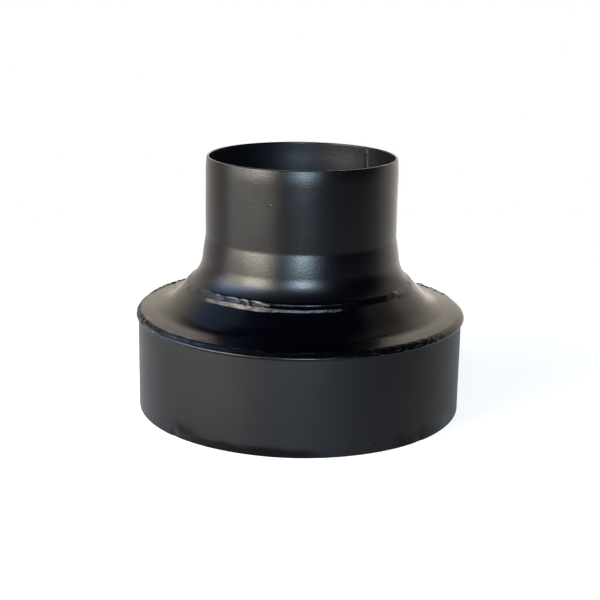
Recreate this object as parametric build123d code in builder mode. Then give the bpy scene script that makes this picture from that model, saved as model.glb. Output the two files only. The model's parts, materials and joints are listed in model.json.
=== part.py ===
from build123d import *
import os
from math import cos, degrees, radians, sin, tan

# Welded sheet steel duct reducer: a flared spigot on a shoulder ring on a wide base collar.
# It stands on the open bottom of the collar, at Z = 0, with the duct along Z.
# Lengths are in millimetres. Slopes are in degrees from the vertical, going down and out.

# Sheet steel
sheet = 1.5
edge_break = 0.3

# Spigot: a straight tube with its end drawn in a little and its foot flared, sized on the outside
spigot_diameter = 118.6
spigot_length = 48.2
lead_in_length = 8.0
lead_in_depth = 0.35
crease_radius = 4.0
flare_slope = 8.8
flare_length = 15.8
lip_radius = 21.0
lip_slope = 45.0
lip_length = 2.6

# Shoulder ring: a cone with a round bend out to a nearly flat brim, sized on the outside.
# The brim is measured to where it would meet the cone if the bend were sharp.
shoulder_slope = 45.0
shoulder_radius = 21.5
brim_slope = 80.0
brim_length = 16.2

# Base collar
collar_bore = 200.0
collar_height = 61.3

# Neck weld, over the butt joint of spigot and shoulder
neck_gap = 1.0
neck_upper_leg = 2.4
neck_lower_leg = 3.4
neck_crown = 1.7

# Rim weld, over the open corner of shoulder and collar
rim_brim_leg = 2.7
rim_collar_leg = 3.0
rim_nose_drop = 1.3
rim_overhang = 1.25
rim_toe_angle = 24.0

# Seam welds, proud on the inside of the spigot and the outside of the collar, where no pipe slides
seam_gap = 1.2
seam_width = 3.4
seam_crown = 0.5
seam_end_gap = 1.5
spigot_seam_azimuth = 44.0
collar_seam_azimuth = 115.0


def run(length, slope):
    """How far out and up a straight stretch goes, so a negative height goes down."""
    return Vector(length * sin(radians(slope)), -length * cos(radians(slope)))


def bend(radius, first_slope, last_slope):
    """How far out and up an outward bend goes between two slopes."""
    first, last = radians(first_slope), radians(last_slope)
    return Vector(radius * (cos(first) - cos(last)), radius * (sin(first) - sin(last)))


def through_sheet(slope):
    """The way from the inside face of the sheet to its outside face, on this slope."""
    return Vector(sheet * cos(radians(slope)), sheet * sin(radians(slope)))


def radial_plane(azimuth):
    """An upright plane through the duct's axis, with radius as its x and height as its y."""
    turn = radians(azimuth)
    return Plane((0, 0, 0), x_dir=(cos(turn), sin(turn), 0), z_dir=(sin(turn), -cos(turn), 0))


# Joints in the section, each a radius and a height, worked up from the collar
spigot_radius = spigot_diameter / 2
collar_inner_radius = collar_bore / 2
collar_outer_radius = collar_inner_radius + sheet
flare = bend(crease_radius, 0, flare_slope) + run(flare_length, flare_slope)
flare += bend(lip_radius, flare_slope, lip_slope) + run(lip_length, lip_slope)
shoulder_top_radius = spigot_radius + (flare + run(neck_gap, lip_slope)).X
brim_corner = Vector(collar_inner_radius, collar_height) + through_sheet(brim_slope)
bend_corner = brim_corner - run(brim_length, brim_slope)
cone_length = (bend_corner.X - shoulder_top_radius) / sin(radians(shoulder_slope))
shoulder_top = bend_corner - run(cone_length, shoulder_slope)
bend_room = (cone_length - neck_lower_leg) / tan(radians(brim_slope - shoulder_slope) / 2)
lip_end = shoulder_top - run(neck_gap, lip_slope)
tube_end = lip_end - flare
spigot_top = tube_end.Y + spigot_length

# Angles that the seams take up
spigot_seam_gap = degrees(seam_gap / spigot_radius)
spigot_seam_width = degrees(seam_width / spigot_radius)
collar_seam_gap = degrees(seam_gap / collar_outer_radius)
collar_seam_width = degrees(seam_width / collar_outer_radius)


def spigot_outside():
    """The outside line of the spigot, from its top edge down to its lip."""
    mouth = Vector(spigot_radius - lead_in_depth, spigot_top)
    lead_in = Line(mouth, (spigot_radius, spigot_top - lead_in_length))
    tube = Line(lead_in @ 1, tube_end)
    crease = JernArc(tube @ 1, tube % 1, crease_radius, flare_slope)
    taper = PolarLine(crease @ 1, flare_length, direction=crease % 1)
    lip = JernArc(taper @ 1, taper % 1, lip_radius, lip_slope - flare_slope)
    PolarLine(lip @ 1, lip_length, direction=lip % 1)


# Spigot: rolled sheet, left open by the width of its seam
with BuildPart() as spigot:
    with BuildSketch(radial_plane(spigot_seam_azimuth + spigot_seam_gap / 2)) as spigot_section:
        with BuildLine():
            spigot_outside()
            offset(amount=sheet, side=Side.RIGHT)
        make_face()
        fillet(spigot_section.vertices().sort_by(Axis.Y)[-2:], edge_break)
    revolve(axis=Axis.Z, revolution_arc=360 - spigot_seam_gap)

# Spigot seam weld: fills the gap, flush outside, with a low crown along the inside
with BuildPart() as spigot_seam_weld:
    with BuildSketch(radial_plane(spigot_seam_azimuth - spigot_seam_gap / 2)):
        add(spigot_section.sketch_local)
    revolve(axis=Axis.Z, revolution_arc=spigot_seam_gap)
    with BuildSketch(radial_plane(spigot_seam_azimuth - spigot_seam_width / 2)):
        with BuildLine():
            spigot_outside()
            offset(amount=sheet + seam_crown, side=Side.RIGHT)
        make_face()
        add(spigot_section.sketch_local, mode=Mode.SUBTRACT)
        with Locations((0, spigot_top)):
            Rectangle(spigot_diameter, 2 * seam_end_gap, mode=Mode.SUBTRACT)
    revolve(axis=Axis.Z, revolution_arc=spigot_seam_width)

# Shoulder ring
with BuildPart() as shoulder_ring:
    with BuildSketch(Plane.XZ):
        with BuildLine():
            FilletPolyline(shoulder_top, bend_corner, brim_corner, radius=min(shoulder_radius, bend_room))
            offset(amount=sheet, side=Side.RIGHT)
        make_face()
    revolve(axis=Axis.Z)

# Base collar: rolled sheet, left open by the width of its seam
with BuildPart() as base_collar:
    with BuildSketch(radial_plane(collar_seam_azimuth + collar_seam_gap / 2)) as collar_section:
        with Locations((collar_inner_radius, 0)):
            Rectangle(sheet, collar_height, align=Align.MIN)
        fillet(collar_section.vertices().sort_by(Axis.Y)[:2], edge_break)
    revolve(axis=Axis.Z, revolution_arc=360 - collar_seam_gap)

# Base collar seam weld: fills the gap, flush inside, with a low crown along the outside
with BuildPart() as base_collar_seam_weld:
    with BuildSketch(radial_plane(collar_seam_azimuth - collar_seam_gap / 2)):
        add(collar_section.sketch_local)
    revolve(axis=Axis.Z, revolution_arc=collar_seam_gap)
    with BuildSketch(radial_plane(collar_seam_azimuth - collar_seam_width / 2)):
        with Locations((collar_outer_radius, seam_end_gap)):
            crown_height = collar_height - rim_collar_leg - 2 * seam_end_gap
            Rectangle(seam_crown, crown_height, align=Align.MIN)
    revolve(axis=Axis.Z, revolution_arc=collar_seam_width)

# Neck weld: fills the butt joint through the sheet and crowns over both of its edges
with BuildPart() as neck_weld:
    with BuildSketch(Plane.XZ):
        with BuildLine():
            neck_upper_toe = lip_end - run(neck_upper_leg, lip_slope)
            neck_lower_toe = shoulder_top + run(neck_lower_leg, shoulder_slope)
            lip_inner = lip_end - through_sheet(lip_slope)
            shoulder_inner = shoulder_top - through_sheet(shoulder_slope)
            Polyline(neck_upper_toe, lip_end, lip_inner, shoulder_inner, shoulder_top, neck_lower_toe)
            SagittaArc(neck_lower_toe, neck_upper_toe, -neck_crown)
        make_face()
    revolve(axis=Axis.Z)

# Rim weld: fills the corner between brim and collar and hangs over the collar in a round nose
with BuildPart() as rim_weld:
    with BuildSketch(Plane.XZ):
        with BuildLine():
            rim_brim_toe = brim_corner - run(rim_brim_leg, brim_slope)
            rim_nose = Vector(collar_outer_radius + rim_overhang, collar_height - rim_nose_drop)
            rim_collar_toe = Vector(collar_outer_radius, collar_height - rim_collar_leg)
            rim_back = TangentArc(rim_brim_toe, rim_nose, tangent=run(1, brim_slope + rim_toe_angle))
            TangentArc(rim_nose, rim_collar_toe, tangent=rim_back % 1)
            corner_inner = Vector(collar_inner_radius, collar_height)
            corner_outer = Vector(collar_outer_radius, collar_height)
            Polyline(rim_collar_toe, corner_outer, corner_inner, brim_corner, rim_brim_toe)
        make_face()
    revolve(axis=Axis.Z)

pieces = {
    "spigot": spigot,
    "spigot_seam_weld": spigot_seam_weld,
    "neck_weld": neck_weld,
    "shoulder_ring": shoulder_ring,
    "rim_weld": rim_weld,
    "base_collar": base_collar,
    "base_collar_seam_weld": base_collar_seam_weld,
}
os.makedirs("parts", exist_ok=True)
for name, piece in pieces.items():
    piece.part.label = name
    export_step(piece.part, f"parts/{name}.step")
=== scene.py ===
import json
import math

import bpy
import numpy as np
from mathutils import Matrix, Vector


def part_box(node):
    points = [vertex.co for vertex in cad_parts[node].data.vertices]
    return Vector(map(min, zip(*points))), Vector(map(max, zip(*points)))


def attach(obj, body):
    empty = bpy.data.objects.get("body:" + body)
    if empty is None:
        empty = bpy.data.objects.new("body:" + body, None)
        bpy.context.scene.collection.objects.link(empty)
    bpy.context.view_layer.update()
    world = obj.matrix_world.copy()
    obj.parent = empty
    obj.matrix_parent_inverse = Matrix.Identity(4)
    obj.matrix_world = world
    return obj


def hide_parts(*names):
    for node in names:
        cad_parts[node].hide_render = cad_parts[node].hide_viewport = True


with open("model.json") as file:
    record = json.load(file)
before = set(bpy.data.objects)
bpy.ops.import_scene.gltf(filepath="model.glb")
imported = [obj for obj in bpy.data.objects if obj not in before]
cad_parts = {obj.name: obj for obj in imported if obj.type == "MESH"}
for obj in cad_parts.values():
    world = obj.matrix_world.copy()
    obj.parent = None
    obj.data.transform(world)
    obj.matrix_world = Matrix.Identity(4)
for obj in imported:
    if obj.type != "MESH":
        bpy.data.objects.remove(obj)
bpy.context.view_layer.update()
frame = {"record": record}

# Sections are worked out in millimetres, as radius and height, and become metres in the meshes.
# Slopes are in degrees from the vertical, going down and out. Azimuths run from +X towards +Y, and the
# camera stands at the front, at azimuth -90. Turns are in degrees from the front, positive to the right.
MM = 0.001
FRONT = -90.0

# Sizes that the frame gives
mounts = {mount["name"]: mount for mount in frame["record"]["mounts"]}
spigot_radius = mounts["spigot"]["dims"]["r_mm"]
collar_inner_radius = mounts["base_socket"]["dims"]["r_mm"]
spigot_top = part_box("spigot")[1].z / MM
collar_outer_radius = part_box("base_collar")[1].x / MM
collar_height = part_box("base_collar")[1].z / MM
shoulder_top_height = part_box("shoulder_ring")[1].z / MM
sheet = collar_outer_radius - collar_inner_radius

# Meshes: how finely each is cut round the axis, and how sharp an edge has to be to stay hard
sheet_segments = 360
collar_segments = 480
neck_segments = 1800
rim_segments = 2400
sheet_sharp_deg = 50.0
bead_sharp_deg = 70.0
seam_sharp_deg = 60.0

# Uneven surfaces: wave lengths so long that only the azimuth counts
ROUND_ONLY = (1e5, 2e5)

# Sheet steel
edge_break = 0.55
edge_points = 5
sheet_unevenness = 0.03

# Spigot: the end is drawn in, and below the crease the flare is a little hollow before its lip
mouth_round = 0.74
lead_in_cone = 3.5
lead_in_bend = 6.5
lead_in_slope = 5.5
tube_length = 48.2
crease_length = 2.0
crease_slope = 10.3
hollow_slope = 6.4
lip_slope = 45.0
lip_length = 2.6

# Shoulder ring
shoulder_slope = 45.0
shoulder_radius = 21.5
brim_slope = 80.0
brim_length = 16.2

# Base collar: at the left of the front its foot is tucked in under a bulge. It is buckled in two places.
# Shade is painted round the buckles and along the foot at the left of the front: a smoother paint that
# shines less, so that the foot looks darker there. Each painted shade zone has its first and last turn
# and its height, and is full up to a share of that height.
collar_unevenness = 0.04
foot_bulge = 0.8
foot_tuck = 0.3
foot_bulge_height = 6.0
foot_bulge_top = 48.0
foot_turns = (-46.0, -12.0)
foot_blends = (4.0, 8.0)
buckle_turns = (-46.0, 45.0)
buckle_half_turn = 1.5
buckle_blend = 1.5
buckle_depth = 0.4
buckle_top = 14.0
painted_shade_zones = ((-47.0, -38.0, 14.0), (-42.0, 6.0, 7.0), (34.0, 62.0, 13.0))
painted_shade_blends = (3.0, 6.0)
painted_shade_full_share = 0.45
painted_shade_unevenness = 0.1

# How far the toes of the beads sink into the sheet
toe_sink = 0.35

# Neck weld. Its face is given as steps: how far down from the upper toe, and how high over the line
# from toe to toe. The stretches go round from the left: a start, fat scales, the front, a steep face
# and the low bead at the back.
neck_gap = 1.0
neck_upper_leg = 3.6
neck_lower_leg = 4.8
neck_width = neck_upper_leg + neck_gap + neck_lower_leg
neck_toe_blend = 0.6
neck_face_points = 37
neck_start_steps = ((0, 0), (2.2, 0.15), (4.4, 0.1), (5.2, 0.6), (7.6, -0.4))
neck_fat_steps = ((0, 0), (1.4, 1.1), (4.8, 0.5), (5.5, 1.4), (7.9, -0.15))
neck_front_steps = ((0, 0), (2.2, 0.42), (2.9, 0.08), (5.6, 0.75), (7.3, -0.2))
neck_steep_steps = ((0, 0), (1.3, 1.7), (1.8, 1.6), (6.2, -0.5), (8.0, -0.45))
neck_low_steps = ((0, 0), (2.5, 0.45), (3.5, 0.5), (4.5, 0.5), (8.2, -0.1))
neck_shapes = (neck_start_steps, neck_fat_steps, neck_front_steps, neck_steep_steps, neck_low_steps)
neck_start_turn = -59.0
neck_fat_turns = (-54.0, -14.0)
neck_steep_turns = (24.0, 56.0)
neck_zone_blend = 5.0
neck_stop_blend = 3.0
neck_scale_turn = 8.0
neck_scale_jitter = 0.15
neck_scale_heel = 0.4
neck_scale_depth = 0.33
neck_scale_wall = 0.8
neck_drift = 1.4
neck_drift_turns = (-35.0, -62.0)
neck_lumps = 0.06
neck_grain = 0.015
neck_crest_grain = 0.03
neck_crest_places = (1.4, 2.2)
neck_brow_grain = 0.02
neck_brow_places = (4.8, 6.0)

# Rim weld: one fat bead with a round nose that hangs over the collar
rim_brim_leg = 2.7
rim_collar_leg = 3.0
rim_nose_drop = 1.3
rim_overhang = 1.25
rim_toe_angle = 24.0
rim_toe_blend = 1.0
rim_zone_blend = 10.0
rim_hatch_pitch = 3.6
rim_hatch_depth = 0.42
rim_hatch_lean = 10.0
rim_hatch_sharpness = 8
rim_hatch_jitter = 0.35
rim_hatch_variation = 0.3
rim_hatch_turns = (-110.0, -51.0)
rim_bevel_turns = (-56.0, 10.0)
rim_bevel_start = 3.0
rim_bevel_depth = 0.34
rim_ragged_turns = (16.0, 52.0)
rim_ragged_lumps = 0.08
rim_flat_start = 3.0
rim_flat_depth = 0.9
rim_lip_turns = (62.0, 125.0)
rim_lip_overhang = 0.5
rim_near_turns = (-42.0, 125.0)
rim_near_sink = 0.14
rim_far_turns = (-105.0, 105.0)
rim_far_blend = 6.0
rim_far_rise = 0.5
rim_far_variation = 0.3
rim_lumps = 0.04
rim_grain = 0.015

# Seam welds
seam_gap = 1.2
seam_width = 3.4
seam_crown = 0.5
seam_crown_points = 9
seam_lift = 0.01
seam_end_gap = 1.5
seam_end_blend = 1.0
seam_ripple_pitch = 3.0
seam_ripple_bow = 0.5
seam_ripple = 0.12
spigot_seam_azimuth = 44.0
collar_seam_azimuth = 115.0

# Paint
INSIDE = "inside"
# The mark of the shade painted on the collar's foot
PAINTED_SHADE = "painted_shade"
paint_colour = (0.0001, 0.00012, 0.0004)
inside_colour = (0.0002, 0.0003, 0.0009)
dust_colour = (0.03, 0.03, 0.03)
dust_scale = 75.0
dust_size = (0.015, 0.03)
sheet_roughness = 0.29
shoulder_roughness = 0.2
collar_roughness = 0.45
weld_roughness = 0.25
inside_roughness = 0.42
# The painted shade on the collar's foot is smoother than the rest of the paint
painted_shade_roughness = 0.2
roughness_spread = 0.03
patch_scale = 60.0
specular_level = 0.125
inside_specular = 0.16
# and shines less, so that it looks darker
painted_shade_specular = 0.08
grain_scale = 1080.0
grain_depth = 0.0004
sheet_grain = 0.17
collar_grain = 0.06
inside_grain = 0.24

# Studio: a white floor, a warm wall of light behind, and softboxes in front. The world's heights and
# depths are parts of a direction, from -1 to 1.
floor_radius = 1.0
floor_sides = 128
floor_fade = (0.25, 0.6)
floor_glow = 0.66
floor_white = 0.85
wall_depths = (0.1, 0.45)
wall_top = (0.45, 0.65)
wall_radiance = 1.6
wall_foot_radiance = 0.9
wall_foot_height = 0.3
wall_colour = (1.0, 0.90, 0.78)
studio_radiance = 0.01
front_rim_radiance = 0.3
front_rim_depths = (-0.3, 0.2)
ground_top = (-0.22, -0.05)
horizon_heights = (-0.03, 0.0)

# Each softbox has its azimuth and elevation in degrees, seen from the part with azimuth 0 at the camera
# and 90 at the right, then its width and height in degrees, its radiance and its colour.
softbox_aim = (0.0, 0.0, 0.1)
softbox_distance = 2.0
softboxes = {
    "warm": (-53, 14, 26, 21, 48, (1.0, 0.90, 0.73)),
    "warm_edge": (-59, 15, 56, 29, 17, (1.0, 0.93, 0.80)),
    "warm_left": (-92, 16, 22, 14, 9, (1.0, 0.97, 0.95)),
    "fill": (-62, -4, 64, 30, 6, (1.0, 0.95, 0.86)),
    "cool": (3, 13.8, 13, 21.4, 82, (0.66, 0.83, 1.0)),
    "cool_edge": (1, 14, 32, 24, 18, (0.55, 0.78, 1.0)),
    "blue": (-72, 30, 60, 18, 14, (0.34, 0.58, 1.0)),
    "blue_edge": (-100, 46, 60, 24, 1.3, (0.45, 0.65, 1.0)),
    "glow": (122, 45, 40, 25, 0.75, (1.0, 0.88, 0.72)),
    "back_glow": (156, 34, 60, 11, 0.6, (1.0, 0.88, 0.72)),
    "back_right": (142, -8, 76, 24, 0.8, (1.0, 0.86, 0.72)),
    "back_left": (-140, -8, 70, 24, 0.28, (1.0, 0.60, 0.25)),
    "back": (180, 19, 24, 12, 5, (1.0, 0.92, 0.80)),
}

# Camera, as fitted to the photo's outlines
camera_place = (0.0, -0.7934, 0.2815)
camera_pitch_deg = 15.179
camera_roll_deg = 0.934
camera_lens_mm = 78.01
camera_sensor_mm = 36.0


# Lines in the section
def run(length, slope):
    """How far out and up a straight stretch goes."""
    return length * np.array([math.sin(math.radians(slope)), -math.cos(math.radians(slope))])


def through_sheet(slope):
    """The way from the inside face of the sheet to its outside face."""
    return sheet * np.array([math.cos(math.radians(slope)), math.sin(math.radians(slope))])


def walk(start, steps):
    """Points along a line given as (length, slope) steps."""
    points = [np.array(start, float)]
    for length, slope in steps:
        points.append(points[-1] + run(length, slope))
    return np.array(points)


def bend(length, first_slope, last_slope, count):
    """Equal steps along a stretch whose slope changes evenly from first to last."""
    shares = (np.arange(count) + 0.5) / count
    return [(length / count, first_slope + share * (last_slope - first_slope)) for share in shares]


def tangent_arc(start, heading, end, count):
    """Points of the arc that leaves start along heading and reaches end, and its heading there."""
    start, end = np.array(start, float), np.array(end, float)
    chord = end - start
    first = math.atan2(heading[1], heading[0])
    half_turn = math.atan2(chord[1], chord[0]) - first
    half_turn = (half_turn + math.pi) % (2 * math.pi) - math.pi
    radius = np.linalg.norm(chord) / (2 * math.sin(half_turn))
    centre = start + radius * np.array([-math.sin(first), math.cos(first)])
    turns = first + 2 * half_turn * np.linspace(0, 1, count + 1)
    points = centre + radius * np.stack([np.sin(turns), -np.cos(turns)], 1)
    return points, np.array([math.cos(turns[-1]), math.sin(turns[-1])])


def normals_of(line):
    """Normals on the outside of a line that runs downwards."""
    along = np.gradient(line, axis=0)
    along /= np.linalg.norm(along, axis=1)[:, None]
    return np.stack([-along[:, 1], along[:, 0]], 1)


def lengths_of(line):
    """How far along the line each of its points is."""
    return np.concatenate([[0], np.cumsum(np.linalg.norm(np.diff(line, axis=0), axis=1))])


def rounded_end(tip, normal, onward, corner):
    """Points over the cut edge of the sheet, from outside to inside, with both corners rounded."""
    turns = np.radians(np.linspace(0, 90, edge_points))[:, None]
    outer = tip - corner * (normal + onward)
    inner = tip - (sheet - corner) * normal - corner * onward
    over = outer + corner * (np.cos(turns) * normal + np.sin(turns) * onward)
    under = inner + corner * (np.cos(turns) * onward - np.sin(turns) * normal)
    return np.concatenate([over, under])


def sheet_section(outside, corner=edge_break):
    """The closed section of a sheet from its outside line.

    Each point comes with its normal, its length along the line, and whether it lies inside.
    """
    normals, along = normals_of(outside), lengths_of(outside)
    top_onward = np.array([-normals[0][1], normals[0][0]])
    foot_onward = np.array([normals[-1][1], -normals[-1][0]])
    top = rounded_end(outside[0], normals[0], top_onward, corner)[::-1]
    foot = rounded_end(outside[-1], normals[-1], foot_onward, corner)
    inner = slice(1, -1)
    points = [outside[inner], foot, (outside - sheet * normals)[inner][::-1], top]
    push = [normals[inner], np.repeat(normals[-1:], len(foot), 0), normals[inner][::-1]]
    push.append(np.repeat(normals[:1], len(top), 0))
    reach = [along[inner], np.repeat(along[-1:], len(foot)), along[inner][::-1]]
    reach.append(np.repeat(along[:1], len(top)))
    inside = np.repeat((0.0, 1.0, 0.0), (len(outside) - 2 + len(foot), len(outside) - 2, len(top)))
    return np.concatenate(points), np.concatenate(push), np.concatenate(reach), inside


# Uneven surfaces
def waves(seed, count, rounds, lengths):
    """A smooth random height of about one, over azimuth in radians and a length in millimetres.

    rounds gives the fewest and most waves round the part, lengths the shortest and longest along it.
    """
    dice = np.random.default_rng(seed)
    round_rates = dice.integers(rounds[0], rounds[1] + 1, count)
    length_rates = 2 * math.pi / dice.uniform(*lengths, count) * dice.choice([-1, 1], count)
    starts = dice.uniform(0, 2 * math.pi, count)

    def height(azimuth, along):
        total = np.zeros(np.broadcast(azimuth, along).shape)
        for rate, length_rate, start in zip(round_rates, length_rates, starts):
            total += np.cos(rate * azimuth + length_rate * along + start)
        return total * math.sqrt(2 / count)

    return height


def turn_from(azimuth, centre_deg):
    """The angle in degrees from a direction, between -180 and 180."""
    return (np.degrees(azimuth) - centre_deg + 180) % 360 - 180


def smooth_step(value, first, last):
    """Zero at first and one at last, with a smooth rise between them."""
    share = np.clip((value - first) / (last - first), 0, 1)
    return share * share * (3 - 2 * share)


def hump(value, rise, fall):
    """Zero, then a smooth rise to one and a smooth fall to zero, each from a first to a last value."""
    return smooth_step(value, *rise) * (1 - smooth_step(value, *fall))


def between(turn, ends, first_blend, last_blend):
    """One between two turns and zero outside them, with soft ends."""
    first, last = ends
    return hump(turn, (first - first_blend, first + first_blend), (last - last_blend, last + last_blend))


# Meshes
def add_mesh(name, points, faces, sharp_deg):
    """An object from points in millimetres, smooth but for its sharp edges."""
    mesh = bpy.data.meshes.new(name)
    mesh.from_pydata((np.reshape(points, (-1, 3)) * MM).tolist(), [], faces)
    mesh.update()
    mesh.shade_smooth()
    mesh.set_sharp_from_angle(angle=math.radians(sharp_deg))
    piece = bpy.data.objects.new(name, mesh)
    bpy.context.scene.collection.objects.link(piece)
    return piece


def grid_faces(rings, count, closed):
    """Faces between rings of points. Each ring is closed on itself, and an open row of rings gets ends."""
    ring, step = np.meshgrid(np.arange(rings if closed else rings - 1), np.arange(count), indexing="ij")
    after, beside = (ring + 1) % rings, (step + 1) % count
    corners = [ring * count + step, ring * count + beside, after * count + beside, after * count + step]
    faces = np.stack(corners, -1).reshape(-1, 4).tolist()
    if not closed:
        faces.append(list(range(count))[::-1])
        faces.append([(rings - 1) * count + k for k in range(count)])
    return faces


def mark(piece, attribute, values):
    """Gives each point a value for the paint to read. The values of one ring serve for all of them."""
    values = np.resize(values, len(piece.data.vertices))
    piece.data.attributes.new(attribute, "FLOAT", "POINT").data.foreach_set("value", values)
    return piece


def ring_azimuths(segments, first_azimuth, sweep):
    """The azimuth in radians of each ring of points. A whole turn ends at its first ring."""
    rings = segments if sweep >= 360.0 else segments + 1
    return np.radians(first_azimuth + sweep * np.arange(rings) / segments)


def lathe(
    name, section, push, relief, segments, first_azimuth=0.0, sweep=360.0, sharp_deg=sheet_sharp_deg
):
    """A closed mesh made by turning a section about Z. relief gives each point's push in millimetres."""
    azimuths = ring_azimuths(segments, first_azimuth, sweep)[:, None]
    moved = section + relief(azimuths)[..., None] * push
    x, y = moved[..., 0] * np.cos(azimuths), moved[..., 0] * np.sin(azimuths)
    faces = grid_faces(len(azimuths), len(section), sweep >= 360.0)
    return add_mesh(name, np.stack([x, y, moved[..., 1]], -1), faces, sharp_deg)


# Corners that the pieces share
brim_corner = np.array([collar_inner_radius, collar_height]) + through_sheet(brim_slope)
bend_corner = brim_corner - run(brim_length, brim_slope)
cone_length = (shoulder_top_height - bend_corner[1]) / math.cos(math.radians(shoulder_slope))
shoulder_top = bend_corner - run(cone_length, shoulder_slope)
lip_end = shoulder_top - run(neck_gap, lip_slope)


# Spigot
def spigot_outside():
    """The outside line of the spigot. The hollow's length and the lip's radius make it end at the neck."""
    tube_end = np.array([spigot_radius, spigot_top - tube_length])
    crease = bend(crease_length, 0, crease_slope, count=8)
    land = bend(lip_length, lip_slope, lip_slope, count=4)
    to_cover = lip_end - walk(tube_end, crease + land)[-1]
    lip_turn = math.radians(lip_slope - hollow_slope)
    hollow_each = walk((0, 0), bend(1, crease_slope, hollow_slope, count=30))[-1]
    lip_each = walk((0, 0), bend(lip_turn, hollow_slope, lip_slope, count=40))[-1]
    hollow_length, lip_radius = np.linalg.solve(np.stack([hollow_each, lip_each], 1), to_cover)
    hollow = bend(hollow_length, crease_slope, hollow_slope, count=30)
    lip = bend(lip_radius * lip_turn, hollow_slope, lip_slope, count=40)
    lead_in = bend(lead_in_cone, lead_in_slope, lead_in_slope, count=4)
    lead_in += bend(lead_in_bend, lead_in_slope, 0, count=12)
    drawn_in = walk((0, 0), lead_in)[-1]
    tube = bend(tube_length + drawn_in[1], 0, 0, count=16)
    mouth = (spigot_radius - drawn_in[0], spigot_top)
    return walk(mouth, lead_in + tube + crease + hollow + lip + land)


def make_spigot():
    """The rolled tube with its flare, left open by the width of its seam."""
    section, push, along, inside = sheet_section(spigot_outside(), mouth_round)
    uneven = waves(seed=11, count=24, rounds=(2, 11), lengths=(25, 90))
    gap = math.degrees(seam_gap / spigot_radius)

    def relief(azimuth):
        return sheet_unevenness * uneven(azimuth, along)

    first_azimuth = spigot_seam_azimuth + gap / 2
    tube = lathe("spigot_tube", section, push, relief, sheet_segments, first_azimuth, 360 - gap)
    return mark(tube, INSIDE, inside)


# Shoulder ring
def make_shoulder():
    """The pressed ring: a cone that bends out to a nearly flat brim."""
    setback = shoulder_radius * math.tan(math.radians(brim_slope - shoulder_slope) / 2)
    bend_length = shoulder_radius * math.radians(brim_slope - shoulder_slope)
    steps = bend(cone_length - setback, shoulder_slope, shoulder_slope, count=10)
    steps += bend(bend_length, shoulder_slope, brim_slope, count=24)
    steps += bend(brim_length - setback, brim_slope, brim_slope, count=8)
    section, push, along, inside = sheet_section(walk(shoulder_top, steps))
    uneven = waves(seed=12, count=24, rounds=(3, 16), lengths=(40, 120))

    def relief(azimuth):
        return sheet_unevenness * uneven(azimuth, along)

    return mark(lathe("shoulder_shell", section, push, relief, sheet_segments), INSIDE, inside)


# Base collar
def foot_painted_shade(turn, height, inside):
    """How strongly shade is painted on the foot, from zero to one, at each turn and point of the section.
    """
    edge = waves(seed=14, count=8, rounds=(8, 40), lengths=ROUND_ONLY)(np.radians(turn), 0.0)
    level = height / (1 + painted_shade_unevenness * edge[:, None])
    painted_shade = np.zeros(level.shape)
    for first, last, top in painted_shade_zones:
        zone = between(turn, (first, last), *painted_shade_blends)[:, None]
        zone = zone * smooth_step(level, top, painted_shade_full_share * top)
        painted_shade = np.maximum(painted_shade, zone * (1 - inside))
    return painted_shade


def make_collar():
    """The rolled collar, left open by the width of its seam."""
    outside = walk((collar_outer_radius, collar_height), bend(collar_height, 0, 0, count=60))
    section, push, along, inside = sheet_section(outside)
    uneven = waves(seed=13, count=24, rounds=(2, 10), lengths=(40, 140))
    gap = math.degrees(seam_gap / collar_outer_radius)
    height = collar_height - along
    bulge = foot_bulge * smooth_step(height, foot_bulge_top, foot_bulge_height)
    bulge = bulge - (foot_bulge + foot_tuck) * smooth_step(height, foot_bulge_height, 0)

    def relief(azimuth):
        turn = turn_from(azimuth, FRONT)
        total = collar_unevenness * uneven(azimuth, along)
        total = total + bulge * between(turn, foot_turns, *foot_blends)
        for centre in buckle_turns:
            ends = (centre - buckle_half_turn, centre + buckle_half_turn)
            buckled = buckle_depth * between(turn, ends, buckle_blend, buckle_blend)
            total = total - buckled * smooth_step(height, buckle_top, 0)
        return total

    span = (collar_segments, collar_seam_azimuth + gap / 2, 360 - gap)
    shell = lathe("collar_shell", section, push, relief, *span)
    # Painted shade: the foot is marked where its paint is to look darker
    mark(shell, PAINTED_SHADE, foot_painted_shade(turn_from(ring_azimuths(*span), FRONT), height, inside))
    return mark(shell, INSIDE, inside)


# Neck weld
def stepped(place, knots):
    """The height at a place on a face that goes straight from knot to knot."""
    total = knots[0][1]
    for (first, low), (last, high) in zip(knots, knots[1:]):
        total = total + (high - low) * np.clip((place - first) / (last - first), 0, 1)
    return total


def mixed_steps(shapes, shares):
    """Steps that are a mixture of several lists of steps."""
    return [
        tuple(sum(share * knot[k] for share, knot in zip(shares, knots)) for k in (0, 1))
        for knots in zip(*shapes)
    ]


def neck_shares(turn):
    """How much of each of the neck's shapes there is at a turn, in their order."""
    front_turns = (neck_fat_turns[1], neck_steep_turns[0])
    start_turns = (neck_start_turn, neck_fat_turns[0])
    start = between(turn, start_turns, neck_zone_blend, neck_zone_blend)
    fat = between(turn, neck_fat_turns, neck_zone_blend, neck_zone_blend)
    front = between(turn, front_turns, neck_zone_blend, neck_zone_blend)
    steep = between(turn, neck_steep_turns, neck_zone_blend, neck_stop_blend)
    return start, fat, front, steep, 1 - start - fat - front - steep


def neck_scales(in_scale, down_face):
    """How deep a scale is dished, from zero to one, at a share of its length and a place down the face."""
    _, crest, valley, brow, _ = neck_fat_steps
    along_scale = np.clip((in_scale - neck_scale_heel) / (1 - neck_scale_heel), 0, 1)
    edge = crest[0] + (valley[0] - crest[0]) * (1 - np.sqrt(1 - along_scale ** 2))
    dish = hump(down_face, (edge, edge + neck_scale_wall), (valley[0], brow[0]))
    return dish * smooth_step(in_scale, 0, neck_scale_heel)


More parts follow.
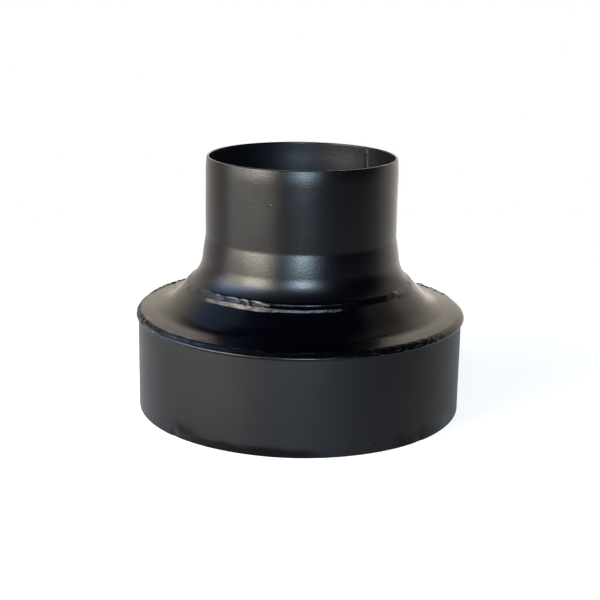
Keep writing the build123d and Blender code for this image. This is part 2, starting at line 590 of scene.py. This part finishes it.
def make_neck_weld():
    """The bead that fills the joint at the neck, with a face that changes round the part."""
    down = run(1, lip_slope)
    outward = through_sheet(lip_slope) / sheet
    place = np.linspace(0, neck_width, neck_face_points)
    face = lip_end - neck_upper_leg * down + place[:, None] * down
    root = [shoulder_top, shoulder_top - sheet * outward, lip_end - sheet * outward, lip_end]
    section = np.concatenate([face, root])
    push = np.repeat((outward, np.zeros(2)), (len(face), len(root)), 0)
    place = np.concatenate([place, np.zeros(len(root))])
    sunk = hump(place, (0, neck_toe_blend), (neck_width - neck_toe_blend, neck_width))
    jitter = waves(seed=21, count=10, rounds=(3, 40), lengths=ROUND_ONLY)
    lumps = waves(seed=23, count=30, rounds=(5, 60), lengths=(3, 20))
    grain = waves(seed=24, count=60, rounds=(150, 420), lengths=(0.8, 3))
    face_grain = neck_crest_grain * smooth_step(place, *neck_crest_places)
    face_grain = face_grain + neck_brow_grain * smooth_step(place, *neck_brow_places)

    def relief(azimuth):
        turn = turn_from(azimuth, FRONT)
        shares = neck_shares(turn)
        _, fat, front, _, _ = shares
        down_face = place - neck_drift * smooth_step(turn, *neck_drift_turns)
        in_scale = (turn / neck_scale_turn + neck_scale_jitter * jitter(azimuth, 0)) % 1.0
        height = stepped(down_face, mixed_steps(neck_shapes, shares))
        height = height - neck_scale_depth * fat * neck_scales(in_scale, down_face)
        fine = (fat + front) * face_grain + neck_grain
        height += fine * grain(azimuth, place) + neck_lumps * lumps(azimuth, place)
        return (height + toe_sink) * sunk - toe_sink

    return lathe("neck_bead", section, push, relief, neck_segments, sharp_deg=bead_sharp_deg)


# Rim weld
def make_rim_weld():
    """The bead that fills the corner at the rim, with a face that changes round the part."""
    down_brim = run(1, brim_slope)
    brim_out = through_sheet(brim_slope) / sheet
    brim_toe = brim_corner - rim_brim_leg * down_brim - toe_sink * brim_out
    nose = np.array([collar_outer_radius + rim_overhang, collar_height - rim_nose_drop])
    collar_toe = np.array([collar_outer_radius - toe_sink, collar_height - rim_collar_leg])
    back, nose_heading = tangent_arc(brim_toe, run(1, brim_slope + rim_toe_angle), nose, count=20)
    under, _ = tangent_arc(nose, nose_heading, collar_toe, count=12)
    face = np.concatenate([back, under[1:]])
    corner = np.array([collar_outer_radius, collar_height])
    root = [corner - (toe_sink, 0), np.array([collar_inner_radius, collar_height])]
    root.append(brim_corner - toe_sink * brim_out)
    section = np.concatenate([face, root])
    push = np.concatenate([normals_of(face), np.zeros((len(root), 2))])

    # Where on the face each kind of relief lies, by the place down it from the brim
    place = np.concatenate([lengths_of(face), np.zeros(len(root))])
    reach = lengths_of(face)[-1]
    to_nose = lengths_of(back)[-1]
    swell = hump(place, (0, rim_toe_blend), (reach - rim_toe_blend, reach))
    on_back = hump(place, (0, rim_toe_blend), (to_nose / 2, to_nose))
    at_nose = hump(place, (to_nose / 2, to_nose), (to_nose, reach))
    flat = hump(place, (rim_flat_start, to_nose), (to_nose, reach))
    bevel = np.sin(math.pi * np.clip((place - rim_bevel_start) / (to_nose - rim_bevel_start), 0, 1))

    stroke_count = round(2 * math.pi * nose[0] / rim_hatch_pitch)
    jitter = waves(seed=31, count=10, rounds=(3, 50), lengths=ROUND_ONLY)
    lumps = waves(seed=33, count=30, rounds=(5, 80), lengths=(3, 20))
    ragged_lumps = waves(seed=35, count=40, rounds=(40, 140), lengths=(3, 10))
    grain = waves(seed=34, count=60, rounds=(200, 520), lengths=(0.8, 3))

    def relief(azimuth):
        turn = turn_from(azimuth, FRONT)
        hatched = between(turn, rim_hatch_turns, rim_zone_blend, rim_zone_blend / 2)
        bevelled = between(turn, rim_bevel_turns, rim_zone_blend / 2, rim_zone_blend)
        ragged = between(turn, rim_ragged_turns, rim_zone_blend, rim_zone_blend)
        lipped = between(turn, rim_lip_turns, rim_zone_blend, 2 * rim_zone_blend)
        near = between(turn, rim_near_turns, rim_zone_blend, rim_zone_blend)
        far = 1 - between(turn, rim_far_turns, rim_far_blend, rim_far_blend)
        lump, ragged_lump = lumps(azimuth, place), ragged_lumps(azimuth, place)
        phase = stroke_count * azimuth / (2 * math.pi) + rim_hatch_jitter * jitter(azimuth, 0)
        phase = phase - place / rim_hatch_lean
        strokes = -rim_hatch_depth * hatched * np.cos(math.pi * phase) ** rim_hatch_sharpness
        rough = rim_ragged_lumps * ragged * ragged_lump + rim_grain * grain(azimuth, place)
        height = strokes * (1 + rim_hatch_variation * lump) + rough + rim_lumps * (1 - lipped) * lump
        height = height - rim_flat_depth * ragged * flat - rim_bevel_depth * bevelled * bevel
        raised = rim_far_rise * far * (1 + rim_far_variation * ragged_lump) - rim_near_sink * near
        return height * swell + raised * on_back + rim_lip_overhang * lipped * at_nose

    return lathe("rim_bead", section, push, relief, rim_segments, sharp_deg=bead_sharp_deg)


# Seam welds
def make_seam_weld(name, line, crown_side, radius, azimuth, crown_rise, crown_fall):
    """A strip that fills the gap of a seam through the sheet and crowns over both edges on one side.

    crown_side is 1 for a crown on the outside and -1 for one on the inside. crown_rise and crown_fall
    hold the lengths along the line where the crown starts and ends.
    """
    normals, along = normals_of(line), lengths_of(line)
    flush = line if crown_side < 0 else line - sheet * normals
    proud = line if crown_side > 0 else line - sheet * normals
    across = np.linspace(-1, 1, seam_crown_points)
    arch = 1 - across ** 2
    wave = (along / seam_ripple_pitch)[:, None] + seam_ripple_bow * arch[None]
    ripple = 1 - seam_ripple + seam_ripple * np.cos(2 * math.pi * wave)
    ends = hump(along, crown_rise, crown_fall)
    lift = crown_side * seam_crown * arch * ripple * ends[:, None] + crown_side * seam_lift
    crown = proud[:, None] + lift[..., None] * normals[:, None]
    ring = [(side * seam_gap / 2, flush) for side in (1, -1)]
    ring += [(-seam_gap / 2, proud)]
    ring += [(offset, crown[:, k]) for k, offset in enumerate(across * seam_width / 2)]
    ring += [(seam_gap / 2, proud)]
    points = []
    for offset, place in ring:
        turn = math.radians(azimuth) + offset / radius
        x, y = place[:, 0] * math.cos(turn), place[:, 0] * math.sin(turn)
        points.append(np.stack([x, y, place[:, 1]], 1))
    faces = grid_faces(len(line), len(ring), closed=False)
    strip = add_mesh(name, np.stack(points, 1), faces, seam_sharp_deg)
    on_proud_side = np.repeat((0.0, 1.0), (2, len(ring) - 2))
    return mark(strip, INSIDE, on_proud_side if crown_side < 0 else 1 - on_proud_side)


def make_spigot_seam():
    """The spigot's seam, with its crown on the inside."""
    line = spigot_outside()
    reach = lengths_of(line)[-1]
    rise, fall = (seam_end_gap, 2 * seam_end_gap), (reach - seam_end_blend, reach)
    return make_seam_weld(
        "spigot_seam_strip", line, -1, spigot_radius, spigot_seam_azimuth, rise, fall
    )


def make_collar_seam():
    """The collar's seam, with its crown on the outside, below the rim weld."""
    line = walk((collar_outer_radius, collar_height), bend(collar_height, 0, 0, count=160))
    rise = (rim_collar_leg, rim_collar_leg + seam_end_blend)
    fall = (collar_height - 2 * seam_end_gap, collar_height - seam_end_gap)
    return make_seam_weld(
        "collar_seam_strip", line, 1, collar_outer_radius, collar_seam_azimuth, rise, fall
    )


# Materials
class Nodes:
    """A short way to add and join the nodes of a material or the world."""

    def __init__(self, tree):
        self.tree = tree
        tree.nodes.clear()

    def add(self, kind, settings=None, **inputs):
        """A new node. Inputs go by name, or as i0, i1 and so on by number."""
        node = self.tree.nodes.new(kind)
        for key, value in (settings or {}).items():
            setattr(node, key, value)
        for key, value in inputs.items():
            self.put(node, key.replace("_", " "), value)
        return node

    def put(self, node, key, value):
        """Sets an input, or links it if the value is another node's output."""
        if key[0] == "i" and key[1:].isdigit():
            socket = node.inputs[int(key[1:])]
        else:
            socket = {socket.name.lower(): socket for socket in reversed(node.inputs)}[key.lower()]
        if isinstance(value, bpy.types.NodeSocket):
            self.tree.links.new(value, socket)
        else:
            socket.default_value = value

    def ramp(self, value, low, high, first=0.0, last=1.0, smooth=False):
        """The output that goes from low to high as value goes from first to last."""
        kind = {"interpolation_type": "SMOOTHSTEP" if smooth else "LINEAR"}
        node = self.add("ShaderNodeMapRange", kind, Value=value)
        for key, setting in (("From Min", first), ("From Max", last), ("To Min", low), ("To Max", high)):
            self.put(node, key, setting)
        return node.outputs["Result"]


def paint(name, roughness, grain_strength):
    """Black satin paint with a fine grain and specks of dust, a rough inside and smooth, darker painted
    shade.
    """
    material = bpy.data.materials.new(name)
    material.use_nodes = True
    nodes = Nodes(material.node_tree)
    place = nodes.add("ShaderNodeTexCoord").outputs["Object"]
    inside = nodes.add("ShaderNodeAttribute", {"attribute_name": INSIDE}).outputs["Fac"]
    painted_shade = nodes.add("ShaderNodeAttribute", {"attribute_name": PAINTED_SHADE}).outputs["Fac"]
    patches = nodes.add("ShaderNodeTexNoise", Vector=place, Scale=patch_scale, Detail=3.0, Roughness=0.6)
    satin = nodes.ramp(patches.outputs["Fac"], roughness - roughness_spread, roughness + roughness_spread)
    # Painted shade: where it is marked, the paint is smoother and shines less, so that it looks darker
    rough = nodes.ramp(inside, nodes.ramp(painted_shade, satin, painted_shade_roughness), inside_roughness)
    shine = nodes.ramp(inside, nodes.ramp(painted_shade, specular_level, painted_shade_specular), inside_specular)
    tint = nodes.add("ShaderNodeValToRGB", Fac=inside)
    tint.color_ramp.elements[0].color = (*paint_colour, 1.0)
    tint.color_ramp.elements[1].color = (*inside_colour, 1.0)
    specks = nodes.add("ShaderNodeTexVoronoi", Vector=place, Scale=dust_scale)
    dust = nodes.ramp(specks.outputs["Distance"], 1.0, 0.0, *dust_size)
    dusty = nodes.add("ShaderNodeMixRGB", Fac=dust, Color1=tint.outputs["Color"])
    nodes.put(dusty, "Color2", (*dust_colour, 1.0))
    grain = nodes.add("ShaderNodeTexNoise", Vector=place, Scale=grain_scale, Detail=1.0, Roughness=0.5)
    bump = nodes.add("ShaderNodeBump", Height=grain.outputs["Fac"], Distance=grain_depth)
    nodes.put(bump, "Strength", nodes.ramp(inside, grain_strength, inside_grain))
    shader = nodes.add("ShaderNodeBsdfPrincipled", Roughness=rough, Normal=bump.outputs["Normal"])
    nodes.put(shader, "Base Color", dusty.outputs["Color"])
    nodes.put(shader, "Specular IOR Level", shine)
    nodes.add("ShaderNodeOutputMaterial", Surface=shader.outputs["BSDF"])
    return material


# Stage
def make_floor():
    """A white disc that fades into the white world. To the camera and in reflections it glows a little."""
    bpy.ops.mesh.primitive_circle_add(
        vertices=floor_sides, radius=floor_radius, fill_type="NGON", location=(0, 0, 0)
    )
    floor = bpy.context.object
    floor.name = "floor"
    material = bpy.data.materials.new("white_floor")
    material.use_nodes = True
    nodes = Nodes(material.node_tree)
    place = nodes.add("ShaderNodeTexCoord").outputs["Object"]
    reach = nodes.add("ShaderNodeVectorMath", {"operation": "LENGTH"}, i0=place)
    fade = nodes.ramp(reach.outputs["Value"], 0.0, 1.0, *floor_fade, smooth=True)
    path = nodes.add("ShaderNodeLightPath")
    mirrored = nodes.add("ShaderNodeMath", {"operation": "MAXIMUM"}, i0=path.outputs["Is Camera Ray"])
    nodes.put(mirrored, "i1", path.outputs["Is Glossy Ray"])
    seen = nodes.add("ShaderNodeMath", {"operation": "MAXIMUM"}, i0=mirrored.outputs["Value"])
    nodes.put(seen, "i1", path.outputs["Is Transmission Ray"])
    white = nodes.add("ShaderNodeBsdfDiffuse", Color=(floor_white, floor_white, floor_white, 1.0))
    glow = nodes.add("ShaderNodeEmission", Color=(1.0, 1.0, 1.0, 1.0), Strength=1.0)
    lit = nodes.add("ShaderNodeMixShader", i0=nodes.ramp(seen.outputs["Value"], 0.0, floor_glow))
    nodes.put(lit, "i1", white.outputs["BSDF"])
    nodes.put(lit, "i2", glow.outputs["Emission"])
    clear = nodes.add("ShaderNodeBsdfTransparent")
    mixed = nodes.add("ShaderNodeMixShader", i0=fade)
    nodes.put(mixed, "i1", lit.outputs["Shader"])
    nodes.put(mixed, "i2", clear.outputs["BSDF"])
    nodes.add("ShaderNodeOutputMaterial", Surface=mixed.outputs["Shader"])
    floor.data.materials.append(material)


def make_world():
    """White below the horizon, a warm wall of light behind the part, and a dark studio elsewhere."""
    world = bpy.data.worlds.new("studio")
    bpy.context.scene.world = world
    world.use_nodes = True
    nodes = Nodes(world.node_tree)
    way = nodes.add("ShaderNodeTexCoord").outputs["Generated"]
    parts = nodes.add("ShaderNodeSeparateXYZ", Vector=way)
    depth, height = parts.outputs["Y"], parts.outputs["Z"]
    foot = nodes.ramp(height, wall_foot_radiance, wall_radiance, 0.0, wall_foot_height, smooth=True)
    behind = nodes.ramp(depth, 0.0, foot, *wall_depths, smooth=True)
    above = nodes.ramp(height, behind, studio_radiance, *wall_top, smooth=True)
    wall = nodes.add("ShaderNodeBackground", Color=(*wall_colour, 1.0), Strength=above)
    rim = nodes.ramp(depth, front_rim_radiance, 1.0, *front_rim_depths, smooth=True)
    below = nodes.ramp(height, 1.0, rim, *ground_top, smooth=True)
    ground = nodes.add("ShaderNodeBackground", Color=(1.0, 1.0, 1.0, 1.0), Strength=below)
    mixed = nodes.add("ShaderNodeMixShader", i0=nodes.ramp(height, 0.0, 1.0, *horizon_heights))
    nodes.put(mixed, "i1", ground.outputs["Background"])
    nodes.put(mixed, "i2", wall.outputs["Background"])
    nodes.add("ShaderNodeOutputWorld", Surface=mixed.outputs["Shader"])


def make_softbox(name, azimuth, elevation, width, height, radiance, colour):
    """An area lamp that the part sees at these angles, with this radiance."""
    lamp = bpy.data.lights.new(name, "AREA")
    lamp.shape = "RECTANGLE"
    lamp.size = 2 * softbox_distance * math.tan(math.radians(width) / 2)
    lamp.size_y = 2 * softbox_distance * math.tan(math.radians(height) / 2)
    lamp.energy = radiance * math.pi * lamp.size * lamp.size_y
    lamp.color = colour
    turn, rise = math.radians(azimuth), math.radians(elevation)
    way = Vector((math.sin(turn) * math.cos(rise), -math.cos(turn) * math.cos(rise), math.sin(rise)))
    holder = bpy.data.objects.new(name, lamp)
    holder.location = Vector(softbox_aim) + softbox_distance * way
    holder.rotation_euler = way.to_track_quat("Z", "Y").to_euler()
    bpy.context.scene.collection.objects.link(holder)


def make_camera():
    """The camera, pitched down and rolled a little, as in the photo."""
    camera = bpy.data.cameras.new("camera")
    camera.lens = camera_lens_mm
    camera.sensor_width = camera_sensor_mm
    holder = bpy.data.objects.new("camera", camera)
    bpy.context.scene.collection.objects.link(holder)
    pitch = Matrix.Rotation(math.radians(90 - camera_pitch_deg), 4, "X")
    roll = Matrix.Rotation(math.radians(camera_roll_deg), 4, "Z")
    holder.matrix_world = Matrix.Translation(camera_place) @ pitch @ roll
    bpy.context.scene.camera = holder


# The part
sheet_paint = paint("black_sheet_paint", sheet_roughness, sheet_grain)
shoulder_paint = paint("black_shoulder_paint", shoulder_roughness, sheet_grain)
collar_paint = paint("black_collar_paint", collar_roughness, collar_grain)
weld_paint = paint("black_weld_paint", weld_roughness, sheet_grain)
spigot_seam = make_spigot_seam()
collar_seam = make_collar_seam()
for piece, node, slot, material in (
    (make_spigot(), "spigot", "painted_sheet", sheet_paint),
    (spigot_seam, "spigot_seam_weld", "painted_weld", weld_paint),
    (make_neck_weld(), "neck_weld", "painted_weld", weld_paint),
    (make_shoulder(), "shoulder_ring", "painted_sheet", shoulder_paint),
    (make_rim_weld(), "rim_weld", "painted_weld", weld_paint),
    (make_collar(), "base_collar", "painted_sheet", collar_paint),
    (collar_seam, "base_collar_seam_weld", "painted_weld", weld_paint),
):
    piece.data.materials.append(material)
    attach(piece, "root")
    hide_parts(node)

# The studio
make_floor()
make_world()
for name, settings in softboxes.items():
    make_softbox(name, *settings)
make_camera()
bpy.context.scene.view_settings.view_transform = "Standard"
